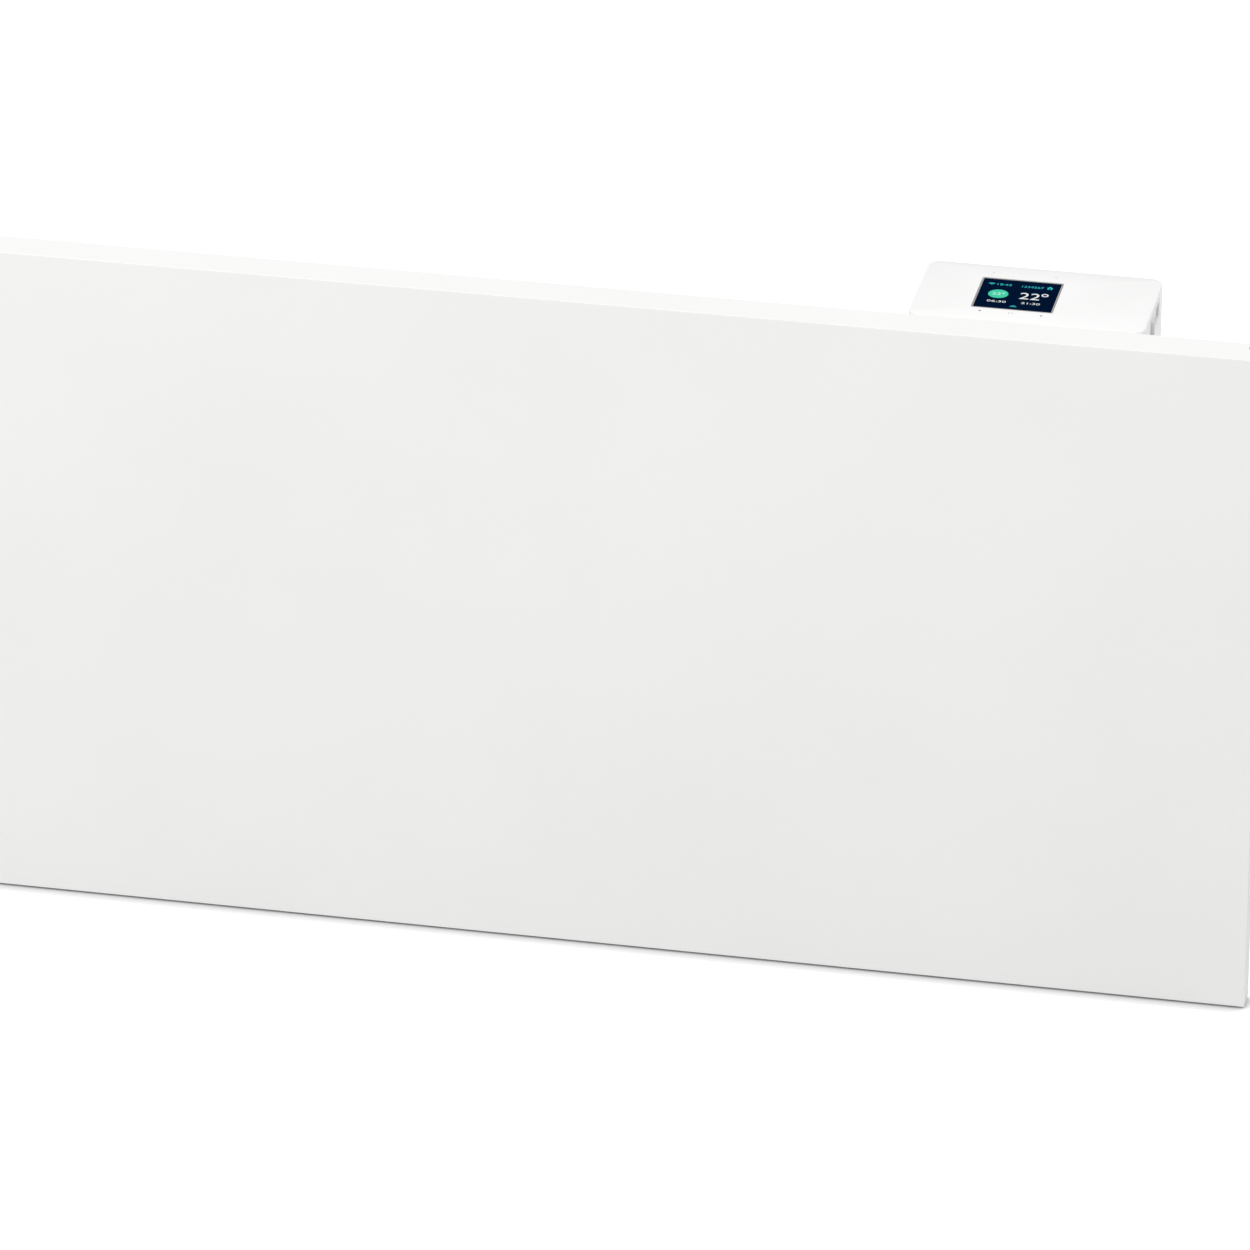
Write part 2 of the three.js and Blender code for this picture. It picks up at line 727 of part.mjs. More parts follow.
// ---- Cord inlet ----
function cableGland() {
  const { bore, neck, flange } = GLAND;
  const profile = [
    [bore, 1],
    [flange * 0.66, 1],
    [flange * 0.92, 4],
    [flange * 0.92, 8],
    [flange, 8],
    [flange, CASE_BOTTOM - GAP],
    [neck, CASE_BOTTOM - GAP],
    [neck, 24],
    [bore, 24],
    [bore, 1],
  ];
  return turned(profile, 18);
}

function glandNut() {
  const bottom = CASE_BOTTOM + SHEET + GAP;
  return cut(
    alongZ(hexagon(0, 0, GLAND.flange + 1.5), bottom, bottom + 4),
    alongZ(disc(0, 0, GLAND.neck + GAP), 0, 40, 9),
  );
}

// ---- Control module, drawn about the centre of its upper face ----
function moduleOutline(inset) {
  const x = MODULE_WIDTH / 2 - inset;
  const y = MODULE_DEPTH / 2 - inset;
  const front = MODULE_FRONT_RADIUS - inset;
  const rear = MODULE_REAR_RADIUS - inset;
  return roundedRectangle(-x, x, -y, y, [front, front, rear, rear]);
}

function moduleCap() {
  const edge = MODULE_EDGE;
  const side = MODULE_WIDTH / 2;
  const block = new THREE.ExtrudeGeometry(moduleOutline(edge), {
    depth: MODULE_DROP,
    bevelThickness: edge,
    bevelSize: edge,
    bevelSegments: 2,
    curveSegments: 4,
  });
  block.translate(0, 0, -MODULE_DROP - edge);
  const { x, y, width, depth } = DISPLAY;
  const w = width / 2 + GAP;
  const d = depth / 2 + GAP;
  const open = SWITCH.length / 2 + 1.6;
  const high = SWITCH.height / 2 + 1.7;
  const shell = cut(
    solid(block),
    box(-100, 100, -100, 100, -MODULE_DROP - 10, -MODULE_DROP),
    alongZ(moduleOutline(MODULE_WALL), -MODULE_DROP - 1, -MODULE_WALL, 4),
    alongZ(roundedRectangle(x - w, x + w, y - d, y + d, 1.2), -5, 5, 2),
    box(side - 10, side + 10, SWITCH.y - open, SWITCH.y + open, SWITCH.z - high, SWITCH.z + high),
    alongX(bezelOutline(SWITCH.y, SWITCH.z, GAP), side - BEZEL_THICKNESS - GAP, side + 10, 3),
  );
  const bosses = [
    [-52, -26],
    [-52, 26],
    [32, -26],
    [32, 26],
  ].map(([bx, by]) => alongZ(disc(bx, by, 3), -7, -MODULE_WALL + 0.5, 3));
  return join(shell, ...bosses);
}

// The switch bezel's outline, or its seat in the cap's side where a clearance is given.
function bezelOutline(y, z, clearance) {
  const along = SWITCH.length / 2 + SWITCH.bezel + clearance;
  const up = SWITCH.height / 2 + SWITCH.bezel + GAP + clearance;
  return roundedRectangle(y - along, y + along, z - up, z + up, 1 + clearance);
}

function displayFrame() {
  const { x, y, width, depth, border } = DISPLAY;
  const w = width / 2;
  const d = depth / 2;
  return cut(
    alongZ(roundedRectangle(x - w, x + w, y - d, y + d, 0.9), -2.2, -0.05, 1),
    box(x - w + border, x + w - border, y - d + border, y + d - border, -5, 5),
  );
}

function displayGlass() {
  const { x, y, width, depth, border } = DISPLAY;
  const w = width / 2 - border - GAP / 2;
  const d = depth / 2 - border - GAP / 2;
  return box(x - w, x + w, y - d, y + d, -1.7, -0.25);
}

function displayPanel() {
  const { x, y, width, depth } = DISPLAY;
  const w = width / 2 + 2;
  const d = depth / 2 + 2;
  return box(x - w, x + w, y - d, y + d, -5.4, -2.5);
}

function controlBoard() {
  const board = box(-60, 36, -31, 31, -8.9, -7.3);
  const connector = box(-20, 0, -29, -22, -14, -8.7);
  const radio = box(-56, -38, -8, 10, -11.6, -8.7);
  const buzzer = alongZ(disc(24, 14, 6), -13, -8.7, 6);
  return join(board, connector, radio, buzzer);
}

// The tray under the cap: a rim on the casing's top and a well that holds the power board.
function moduleBase() {
  const { left, right, front, rear, floor } = WELL;
  const wall = 2;
  const rim = alongZ(moduleOutline(MODULE_WALL + GAP), -MODULE_DROP, -MODULE_DROP + wall, 4);
  const well = box(left, right, front, rear, floor, -MODULE_DROP + 0.5);
  const hollow = box(left + wall, right - wall, front + wall, rear - wall, floor + wall, 0);
  const posts = [
    [-48, -22],
    [48, -22],
    [-48, 8],
    [48, 8],
  ].map(([x, y]) => alongZ(disc(x, y, 2.5), floor + wall - 0.5, floor + wall + 1.7, 4));
  const exits = [
    leadExit(LIVE_EXIT, LEAD_RADIUS),
    leadExit(NEUTRAL_EXIT, LEAD_RADIUS),
    leadExit(SENSOR_EXIT, SENSOR_LEAD_RADIUS),
    leadExit(SUPPLY_EXIT, SUPPLY_LEAD_RADIUS),
  ];
  return cut(join(cut(join(rim, well), hollow), ...posts), ...exits);
}

// The hole a lead leaves the well by.
function leadExit([x, y], radius) {
  return alongZ(disc(x - MODULE_X, y - MODULE_Y, radius + 2 * GAP), WELL.floor - 1, WELL.floor + 3, 4);
}

function powerBoard() {
  const board = box(-52, 52, -25, 11.5, BOARD_TOP - 1.6, BOARD_TOP);
  const transformer = box(-46, -24, -20, 2, BOARD_TOP - 0.2, BOARD_TOP + 15);
  const choke = alongZ(disc(-8, -12, 7), BOARD_TOP - 0.2, BOARD_TOP + 9, 6);
  return join(board, transformer, choke);
}

function relay() {
  const bottom = BOARD_TOP + GAP;
  return box(8, 27, -20, -4, bottom, bottom + 15.5);
}

function capacitor() {
  const bottom = BOARD_TOP + GAP;
  return alongZ(disc(-12, 4, 5), bottom, bottom + 20, 6);
}

// The switching device's heat sink: a back with upright fins.
function heatSink() {
  const bottom = BOARD_TOP + GAP;
  const fins = [];
  for (let i = 0; i < 6; i++) {
    fins.push(box(32 + i * 3.2, 33.2 + i * 3.2, -20, -3.5, bottom, bottom + 18));
  }
  return join(box(32, 49.2, -4.5, -2.5, bottom, bottom + 18), ...fins);
}

// The rocker switch's body with its bezel, which lies level with the cap's side. Drawn about the rocker's
// pivot, and facing +X.
function switchBody() {
  const bezelX = ROCKER_PIVOT_INSET - BEZEL_THICKNESS;
  const y = SWITCH.length / 2 + 0.05;
  const z = SWITCH.height / 2 + GAP;
  const bezel = alongX(bezelOutline(0, 0, 0), bezelX, ROCKER_PIVOT_INSET, 3);
  const body = box(bezelX - SWITCH.depth, bezelX + 0.2, -y - 1.1, y + 1.1, -z - 1.1, z + 1.1);
  const throat = box(-8, bezelX + 3, -y, y, -z, z);
  const bearing = alongZ(disc(0, 0, 1.5), -z - 0.9, z + 0.9, 4);
  const tabs = [-8, 8].map((place) =>
    box(bezelX - SWITCH.depth - 6, bezelX - SWITCH.depth + 1, place - 0.4, place + 0.4, -3, 3),
  );
  return join(cut(join(body, bezel), throat, bearing), ...tabs);
}

// The rocker: two flat halves that meet in a shallow valley, and ends that are arcs about the pivot.
function rocker() {
  const angle = THREE.MathUtils.degToRad(ROCKER_ANGLE);
  const tip = [ROCKER_CREST + ROCKER_REACH * Math.tan(angle), ROCKER_REACH];
  const radius = Math.hypot(...tip);
  const tipAngle = Math.atan2(tip[1], tip[0]);
  const rootAngle = Math.acos(-1.5 / radius);
  const shape = new THREE.Shape();
  shape.moveTo(ROCKER_CREST, 0);
  shape.lineTo(tip[0], tip[1]);
  shape.absarc(0, 0, radius, tipAngle, rootAngle, false);
  shape.lineTo(-5, 3);
  shape.lineTo(-5, -3);
  shape.lineTo(radius * Math.cos(rootAngle), -radius * Math.sin(rootAngle));
  shape.absarc(0, 0, radius, -rootAngle, -tipAngle, false);
  shape.closePath();
  const half = SWITCH.height / 2;
  const pins = alongZ(disc(0, 0, 1.1), -half - 0.9, half + 0.9, 4);
  return join(alongZ(shape, -half, half, 3), pins);
}

// ---- Wall bracket ----
function wallRail() {
  const { halfWidth, halfHeight, thickness, flange } = RAIL;
  const plate = alongY(roundedRectangle(-halfWidth, halfWidth, -halfHeight, halfHeight, 4), -thickness, 0, 3);
  const inner = ARM_X - ARM_WIDTH / 2 - 4;
  const flanges = [-halfHeight, halfHeight - 1].map((edge) =>
    box(-inner, inner, -flange, -thickness + 0.5, edge, edge + 1),
  );
  const slots = [-92, -46, 46, 92].map((x) => alongY(obround(x, 0, 16, 6.5), -5, 1, 3));
  const holes = [-1, 1].flatMap((side) => RIVET_OFFSETS.map((z) => rivetHole(side * ARM_X, z)));
  return cut(join(plate, ...flanges), ...slots, ...holes);
}

function rivetHole(x, z) {
  return alongY(disc(x, z, RIVET_RADIUS + GAP), -9, 1, 4);
}

// A channel that stands on the rail, with a foot under the casing and a top plate for its latch.
function bracketArm() {
  const half = ARM_WIDTH / 2;
  const front = CASE_REAR + GAP;
  const foot = CASE_BOTTOM - GAP - ARM_SHEET;
  const web = box(-half, half, ARM_BACK - ARM_SHEET, ARM_BACK, foot, CASE_TOP);
  const sides = [
    box(-half, -half + ARM_SHEET, front, ARM_BACK, foot, CASE_TOP),
    box(half - ARM_SHEET, half, front, ARM_BACK, foot, CASE_TOP),
  ];
  const sole = box(-11, 11, -FOOT_REACH, ARM_BACK, foot, foot + ARM_SHEET);
  const lip = box(-11, 11, -FOOT_REACH, -FOOT_REACH + SHEET, foot, CASE_BOTTOM + 8);
  const top = box(-half, half, front, ARM_BACK, CASE_TOP - ARM_SHEET, CASE_TOP);
  const pivot = alongZ(disc(0, LATCH_Y, PIVOT_HOLE_RADIUS), CASE_TOP - 5, CASE_TOP + 1, 6);
  const rivets = RIVET_OFFSETS.map((z) => rivetHole(0, MOUNT_HEIGHT + z));
  const lightening = [110, 185, 305].map((z) => alongY(obround(0, z, 12, 36), -9, 0, 2));
  return cut(join(web, ...sides, sole, lip, top), pivot, ...rivets, ...lightening);
}

function rivet() {
  const profile = [
    [0, ARM_BACK - ARM_SHEET - GAP - 1.6],
    [2.6, ARM_BACK - ARM_SHEET - GAP - 1.2],
    [4, ARM_BACK - ARM_SHEET - GAP],
    [RIVET_RADIUS, ARM_BACK - ARM_SHEET - GAP],
    [RIVET_RADIUS, -0.1],
    [0, -0.1],
  ];
  return turned(profile, 10).rotate([-90, 0, 0]);
}

// The turning latch, drawn about its pivot with its nose towards the front, and hooked round the tab.
function latch() {
  const nose = TAB_HEIGHT + GAP;
  const boss = alongZ(disc(0, 0, LATCH_BOSS), GAP, nose + 3, 7);
  const tip = LATCH_PEG_RADIUS + 1.2;
  const arm = new THREE.Shape();
  arm.moveTo(-LATCH_BOSS + 0.4, 0);
  arm.lineTo(-tip, -LATCH_PEG_REACH);
  arm.absarc(0, -LATCH_PEG_REACH, tip, Math.PI, Math.PI * 2, false);
  arm.lineTo(LATCH_BOSS - 0.4, 0);
  arm.closePath();
  const arms = alongZ(arm, nose, nose + 3, 6);
  const peg = alongZ(disc(0, -LATCH_PEG_REACH, LATCH_PEG_RADIUS), 1, nose + 1, 6);
  const grip = box(-0.8, 0.8, -LATCH_PEG_REACH - 1.5, -LATCH_BOSS, nose + 2.5, nose + 5);
  const bore = alongZ(disc(0, 0, PIVOT_HOLE_RADIUS), -1, nose + 8, 6);
  return cut(join(boss, arms, peg, grip), bore);
}

// The rubber buffer between the casing and the wall, turned about an axis that runs to the front.
function wallBumper() {
  const { radius, stem } = BUMPER;
  const front = -CASE_REAR - GAP;
  const profile = [
    [0, 0],
    [radius - 2, 0],
    [radius, 2],
    [radius, front],
    [stem, front],
    [stem, front + 3],
    [stem - 1, front + 4.2],
    [0, front + 4.2],
  ];
  return turned(profile, 14).rotate([90, 0, 0]);
}

// ---- Assembly ----
function addPanel(heater) {
  piece(heater, "front_panel", frontPanel(), white_steel);
  for (const [name, side] of SIDES) {
    piece(heater, `side_bracket_${name}`, sideBracket(side), zinc_steel);
    SIDE_SCREW_HEIGHTS.forEach((height, i) => {
      const x = side * (CASE_WIDTH / 2 + SHEET + 2 * GAP);
      const place = subgroup(heater, x, SIDE_SCREW_Y, height);
      place.rotation.y = (side * Math.PI) / 2;
      piece(place, `side_screw_${name}_${i + 1}`, screwBody(4, 2.4, 2, 8), zinc_steel);
    });
  }
}

function addCasing(heater) {
  piece(heater, "rear_casing", rearCasing(), white_steel);
  piece(heater, "inner_baffle", innerBaffle(), zinc_steel);
  baffleCorners().forEach(([x, z], i) => {
    const place = subgroup(heater, x, CASE_FRONT - SHEET - 2 * GAP, z);
    place.rotation.x = Math.PI / 2;
    piece(place, `baffle_screw_${i + 1}`, screwBody(3.4, 2, 1.6, 7), zinc_steel);
  });
  piece(heater, "outlet_grille", outletGrille(), white_steel);
  piece(heater, "partition_plate", partitionPlate(), zinc_steel);
}

function addElement(heater) {
  const element = subgroup(heater, 0, ELEMENT_Y, ELEMENT_Z);
  piece(element, "element_fins", elementFins(), raw_aluminium);
  piece(element, "element_sheath", elementSheath(), dark_steel);
  for (const [name, side] of SIDES) {
    piece(element, `element_bracket_${name}`, elementBracket(side), zinc_steel);
    piece(element, `element_bush_${name}`, elementBush(side), ceramic_white);
  }
}

function addWiring(heater) {
  const middle = PARTITION_X + SHEET / 2;
  piece(subgroup(heater, middle, ELEMENT_Y, ELEMENT_Z), "grommet_upper", grommet(), grey_rubber);
  piece(subgroup(heater, middle, LOWER_LEAD.y, LOWER_LEAD.z), "grommet_lower", grommet(), grey_rubber);
  piece(heater, "live_lead", liveLead(), silicone_red);
  piece(heater, "neutral_lead", neutralLead(), silicone_blue);
  piece(heater, "sensor_lead", sensorLead(), black_plastic);
  piece(heater, "supply_lead", supplyLead(), black_plastic);
  const { x, y, z } = SENSOR;
  piece(subgroup(heater, x, y, z), "room_sensor", roomSensor(), black_plastic);
  piece(subgroup(heater, x, y, CASE_BOTTOM + SHEET + GAP + 12.2), "sensor_clip", sensorClip(), pale_plastic);
  const cutout = subgroup(heater, CUTOUT.x, CASE_REAR - SHEET - GAP, CUTOUT.z);
  cutout.rotation.x = Math.PI / 2;
  piece(cutout, "thermal_cutout", thermalCutout(), black_plastic);
  const block = subgroup(heater, TERMINAL.x, CASE_REAR - SHEET - 6.5 - GAP, TERMINAL.z);
  piece(block, "terminal_block", terminalBlock(), pale_plastic);
  const stud = subgroup(heater, EARTH.x, CASE_REAR - SHEET - GAP, EARTH.z);
  piece(stud, "earth_stud", earthStud(), zinc_steel);
  const gland = subgroup(heater, GLAND.x, GLAND.y, 0);
  piece(gland, "cable_gland", cableGland(), black_plastic);
  piece(gland, "gland_nut", glandNut(), black_plastic);
}

function addModule(heater) {
  const module = subgroup(heater, MODULE_X, MODULE_Y, PANEL_HEIGHT);
  piece(module, "module_cap", moduleCap(), white_plastic);
  piece(module, "display_frame", displayFrame(), frame_grey);
  piece(module, "display_glass", displayGlass(), screen_glass);
  piece(module, "display_panel", displayPanel(), black_plastic);
  piece(module, "control_board", controlBoard(), board_green);
  piece(module, "module_base", moduleBase(), pale_plastic);
  piece(module, "power_board", powerBoard(), board_green);
  piece(module, "relay", relay(), black_plastic);
  piece(module, "capacitor", capacitor(), dark_steel);
  piece(module, "heat_sink", heatSink(), raw_aluminium);
  const pivot = subgroup(module, MODULE_WIDTH / 2 - ROCKER_PIVOT_INSET, SWITCH.y, SWITCH.z);
  piece(pivot, "switch_body", switchBody(), pale_plastic);
  const key = piece(pivot, "switch_rocker", rocker(), pale_plastic);
  key.rotation.z = THREE.MathUtils.degToRad(ROCKER_ANGLE);
}

function addBracket(heater) {
  const rail = subgroup(heater, 0, 0, MOUNT_HEIGHT);
  piece(rail, "wall_rail", wallRail(), zinc_steel);
  for (const [name, side] of SIDES) {
    const arm = subgroup(heater, side * ARM_X, 0, 0);
    piece(arm, `bracket_arm_${name}`, bracketArm(), zinc_steel);
    RIVET_OFFSETS.forEach((z, i) => {
      piece(subgroup(arm, 0, 0, MOUNT_HEIGHT + z), `rail_rivet_${name}_${i + 1}`, rivet(), zinc_steel);
    });
    const turn = subgroup(arm, 0, LATCH_Y, CASE_TOP);
    piece(turn, `wall_latch_${name}`, latch(), pale_plastic);
    const head = subgroup(turn, 0, 0, TAB_HEIGHT + 3 + 2 * GAP);
    piece(head, `latch_screw_${name}`, screwBody(4, 2, 1.9, 14), zinc_steel);
    const buffer = subgroup(heater, side * BUMPER.x, 0, BUMPER.z);
    piece(buffer, `wall_bumper_${name}`, wallBumper(), grey_rubber);
  }
}

const heater = new THREE.Group();
heater.position.z = -MOUNT_HEIGHT;
addPanel(heater);
addCasing(heater);
addElement(heater);
addWiring(heater);
addModule(heater);
addBracket(heater);

export default heater;
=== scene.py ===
import json
import math

import bmesh
import bpy
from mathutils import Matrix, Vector


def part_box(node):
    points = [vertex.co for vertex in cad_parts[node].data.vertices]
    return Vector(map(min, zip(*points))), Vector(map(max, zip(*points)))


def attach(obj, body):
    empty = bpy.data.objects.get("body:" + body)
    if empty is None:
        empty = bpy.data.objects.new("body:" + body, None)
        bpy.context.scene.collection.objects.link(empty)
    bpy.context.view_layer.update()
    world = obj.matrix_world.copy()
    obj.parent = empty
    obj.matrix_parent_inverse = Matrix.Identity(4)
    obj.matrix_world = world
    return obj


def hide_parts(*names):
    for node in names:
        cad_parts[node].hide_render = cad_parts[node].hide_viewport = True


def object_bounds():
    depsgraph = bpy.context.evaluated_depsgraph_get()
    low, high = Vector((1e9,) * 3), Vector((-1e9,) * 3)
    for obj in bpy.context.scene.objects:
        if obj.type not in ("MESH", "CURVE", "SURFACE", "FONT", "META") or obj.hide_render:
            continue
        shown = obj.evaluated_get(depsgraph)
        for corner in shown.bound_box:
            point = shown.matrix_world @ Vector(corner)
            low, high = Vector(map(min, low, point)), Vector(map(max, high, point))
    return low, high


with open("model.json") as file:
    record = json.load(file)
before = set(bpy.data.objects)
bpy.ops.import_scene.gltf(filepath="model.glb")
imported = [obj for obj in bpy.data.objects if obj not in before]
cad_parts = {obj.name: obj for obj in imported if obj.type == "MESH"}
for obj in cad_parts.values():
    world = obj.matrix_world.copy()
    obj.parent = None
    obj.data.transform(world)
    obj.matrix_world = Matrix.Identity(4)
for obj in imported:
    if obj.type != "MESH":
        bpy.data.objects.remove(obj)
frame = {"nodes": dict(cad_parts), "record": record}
cad_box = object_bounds()
nodes = frame["nodes"]
record = frame["record"]
MM = 0.001
WELD = 0.002 * MM
FLAT_ANGLE = math.radians(0.3)

# ---- Camera, at the photograph's place ----
AZIMUTH = math.radians(11.807)
ELEVATION = math.radians(26.5)
CAMERA_PLACE = (0.94165, -4.54534, 2.21940)
LENS = 261.17

back = Vector(
    (
        math.sin(AZIMUTH) * math.cos(ELEVATION),
        -math.cos(AZIMUTH) * math.cos(ELEVATION),
        math.sin(ELEVATION),
    )
)
camera_data = bpy.data.cameras.new("camera")
camera_data.sensor_width = 36
camera_data.lens = LENS
camera_data.clip_start = 0.05
camera_data.clip_end = 100
camera = bpy.data.objects.new("camera", camera_data)
camera.location = CAMERA_PLACE
camera.rotation_euler = (-back).to_track_quat("-Z", "Y").to_euler()
bpy.context.scene.collection.objects.link(camera)
bpy.context.scene.camera = camera


# ---- Materials ----
class Shader:
    """A new node material with one Principled shader and short ways to add what feeds it."""

    def __init__(self, name):
        self.material = bpy.data.materials.new(name)
        self.material.use_nodes = True
        self.tree = self.material.node_tree
        self.tree.nodes.clear()
        self.shader = self.add("ShaderNodeBsdfPrincipled")
        self.output = self.add("ShaderNodeOutputMaterial")
        self.link(self.shader.outputs["BSDF"], self.output.inputs["Surface"])
        self.coords = self.add("ShaderNodeTexCoord").outputs["Object"]

    def add(self, kind, **settings):
        node = self.tree.nodes.new(kind)
        for key, value in settings.items():
            setattr(node, key, value)
        return node

    def link(self, source, target):
        self.tree.links.new(source, target)

    def maths(self, operation, first, second):
        """A Math node between two things, each either a socket or a number."""
        node = self.add("ShaderNodeMath", operation=operation)
        for socket, value in zip(node.inputs, (first, second)):
            if isinstance(value, (int, float)):
                socket.default_value = value
            else:
                self.link(value, socket)
        return node.outputs[0]

    def set(self, name, value):
        self.shader.inputs[name].default_value = value

    def stretched(self, scale):
        mapping = self.add("ShaderNodeMapping")
        mapping.inputs["Scale"].default_value = scale
        self.link(self.coords, mapping.inputs["Vector"])
        return mapping.outputs["Vector"]

    def noise(self, scale, detail=2.0, roughness=0.5, coords=None):
        node = self.add("ShaderNodeTexNoise")
        node.inputs["Scale"].default_value = scale
        node.inputs["Detail"].default_value = detail
        node.inputs["Roughness"].default_value = roughness
        self.link(coords or self.coords, node.inputs["Vector"])
        return node.outputs["Fac"]

    def ramp(self, source, low, high, stops=(0.3, 0.7)):
        node = self.add("ShaderNodeValToRGB")
        node.color_ramp.elements[0].position = stops[0]
        node.color_ramp.elements[1].position = stops[1]
        node.color_ramp.elements[0].color = (*low, 1)
        node.color_ramp.elements[1].color = (*high, 1)
        self.link(source, node.inputs["Fac"])
        return node.outputs["Color"]

    def spread(self, source, low, high):
        node = self.add("ShaderNodeMapRange")
        node.inputs["From Min"].default_value = 0.3
        node.inputs["From Max"].default_value = 0.7
        node.inputs["To Min"].default_value = low
        node.inputs["To Max"].default_value = high
        self.link(source, node.inputs["Value"])
        return node.outputs["Result"]

    def bump(self, source, depth, strength=1.0, under=None):
        node = self.add("ShaderNodeBump")
        node.inputs["Strength"].default_value = strength
        node.inputs["Distance"].default_value = depth
        self.link(source, node.inputs["Height"])
        if under is not None:
            self.link(under, node.inputs["Normal"])
        self.link(node.outputs["Normal"], self.shader.inputs["Normal"])
        return node.outputs["Normal"]


def shade(colour, factor):
    return tuple(min(1.0, c * factor) for c in colour)


def powder_coat(name, colour):
    s = Shader(name)
    cloud = s.noise(6, 3)
    s.link(s.ramp(cloud, shade(colour, 0.985), shade(colour, 1.01)), s.shader.inputs["Base Color"])
    s.link(s.spread(s.noise(240, 4), 0.5, 0.62), s.shader.inputs["Roughness"])
    peel = s.bump(s.noise(520, 2, 0.45), 0.05 * MM, 0.35)
    s.bump(s.noise(2600, 1), 0.01 * MM, 0.3, peel)
    s.set("Specular IOR Level", 0.12)
    return s.material


def moulded(name, colour, rough=(0.4, 0.52), grain=2400, gloss=0.45):
    s = Shader(name)
    s.link(s.ramp(s.noise(14, 2), shade(colour, 0.985), shade(colour, 1.01)), s.shader.inputs["Base Color"])
    s.link(s.spread(s.noise(grain * 0.4, 3), *rough), s.shader.inputs["Roughness"])
    s.bump(s.noise(grain, 3, 0.6), 0.02 * MM, 0.35)
    s.set("Specular IOR Level", gloss)
    return s.material


def zinc_plate(name, colour):
    s = Shader(name)
    spangle = s.add("ShaderNodeTexVoronoi")
    spangle.inputs["Scale"].default_value = 260
    s.link(s.coords, spangle.inputs["Vector"])
    tint = s.ramp(spangle.outputs["Color"], shade(colour, 0.93), shade(colour, 1.04), (0.1, 0.9))
    s.link(tint, s.shader.inputs["Base Color"])
    s.set("Metallic", 1.0)
    s.link(s.spread(s.noise(90, 5), 0.34, 0.48), s.shader.inputs["Roughness"])
    s.bump(s.noise(1400, 3), 0.02 * MM, 0.3)
    return s.material


def extruded_aluminium(name, colour):
    s = Shader(name)
    drawn = s.noise(900, 2, coords=s.stretched((0.02, 1, 1)))
    s.link(s.ramp(drawn, shade(colour, 0.9), shade(colour, 1.05)), s.shader.inputs["Base Color"])
    s.set("Metallic", 1.0)
    s.link(s.spread(drawn, 0.3, 0.45), s.shader.inputs["Roughness"])
    s.bump(drawn, 0.02 * MM, 0.4)
    return s.material


def dull_steel(name, colour):
    s = Shader(name)
    s.link(s.ramp(s.noise(70, 5), shade(colour, 0.8), shade(colour, 1.15)), s.shader.inputs["Base Color"])
    s.set("Metallic", 1.0)
    s.link(s.spread(s.noise(300, 4), 0.4, 0.58), s.shader.inputs["Roughness"])
    s.bump(s.noise(1500, 3), 0.02 * MM, 0.3)
    return s.material


def ceramic(name, colour):
    s = Shader(name)
    s.link(s.ramp(s.noise(500, 4), shade(colour, 0.94), shade(colour, 1.03)), s.shader.inputs["Base Color"])
    s.link(s.spread(s.noise(900, 3), 0.6, 0.8), s.shader.inputs["Roughness"])
    s.bump(s.noise(3000, 3), 0.03 * MM, 0.4)
    return s.material


def rubber(name, colour):
    s = Shader(name)
    s.link(s.ramp(s.noise(120, 4), shade(colour, 0.88), shade(colour, 1.08)), s.shader.inputs["Base Color"])
    s.link(s.spread(s.noise(700, 3), 0.7, 0.9), s.shader.inputs["Roughness"])
    s.bump(s.noise(2200, 3), 0.04 * MM, 0.4)
    return s.material


def circuit_board(name, colour):
    s = Shader(name)
    brick = s.add("ShaderNodeTexBrick")
    brick.inputs["Scale"].default_value = 190
    brick.inputs["Mortar Size"].default_value = 0.06
    brick.inputs["Color1"].default_value = (*shade(colour, 0.9), 1)
    brick.inputs["Color2"].default_value = (*colour, 1)
    brick.inputs["Mortar"].default_value = (*shade(colour, 1.7), 1)
    s.link(s.coords, brick.inputs["Vector"])
    s.link(brick.outputs["Color"], s.shader.inputs["Base Color"])
    s.link(s.spread(s.noise(400, 3), 0.3, 0.42), s.shader.inputs["Roughness"])
    s.bump(brick.outputs["Fac"], 0.03 * MM, 0.4)
    return s.material


def screen(name, colour):
    s = Shader(name)
    s.link(s.ramp(s.noise(25, 1), shade(colour, 0.9), shade(colour, 1.1)), s.shader.inputs["Base Color"])
    s.link(s.spread(s.noise(60, 2), 0.2, 0.26), s.shader.inputs["Roughness"])
    s.set("Emission Color", (*colour, 1))
    s.set("Emission Strength", 0.5)
    s.set("Specular IOR Level", 0.0)
    return s.material


def lit(name, colour, strength=0.85):
    s = Shader(name)
    glow = s.ramp(s.noise(300, 2), shade(colour, 0.92), colour)
    s.link(glow, s.shader.inputs["Emission Color"])
    s.set("Base Color", (*shade(colour, 0.1), 1))
    s.set("Emission Strength", strength)
    s.set("Roughness", 0.4)
    s.set("Specular IOR Level", 0.1)
    return s.material


def ink(name, colour):
    s = Shader(name)
    s.link(s.ramp(s.noise(1800, 2), shade(colour, 0.85), shade(colour, 1.15)), s.shader.inputs["Base Color"])
    s.set("Roughness", 0.5)
    return s.material


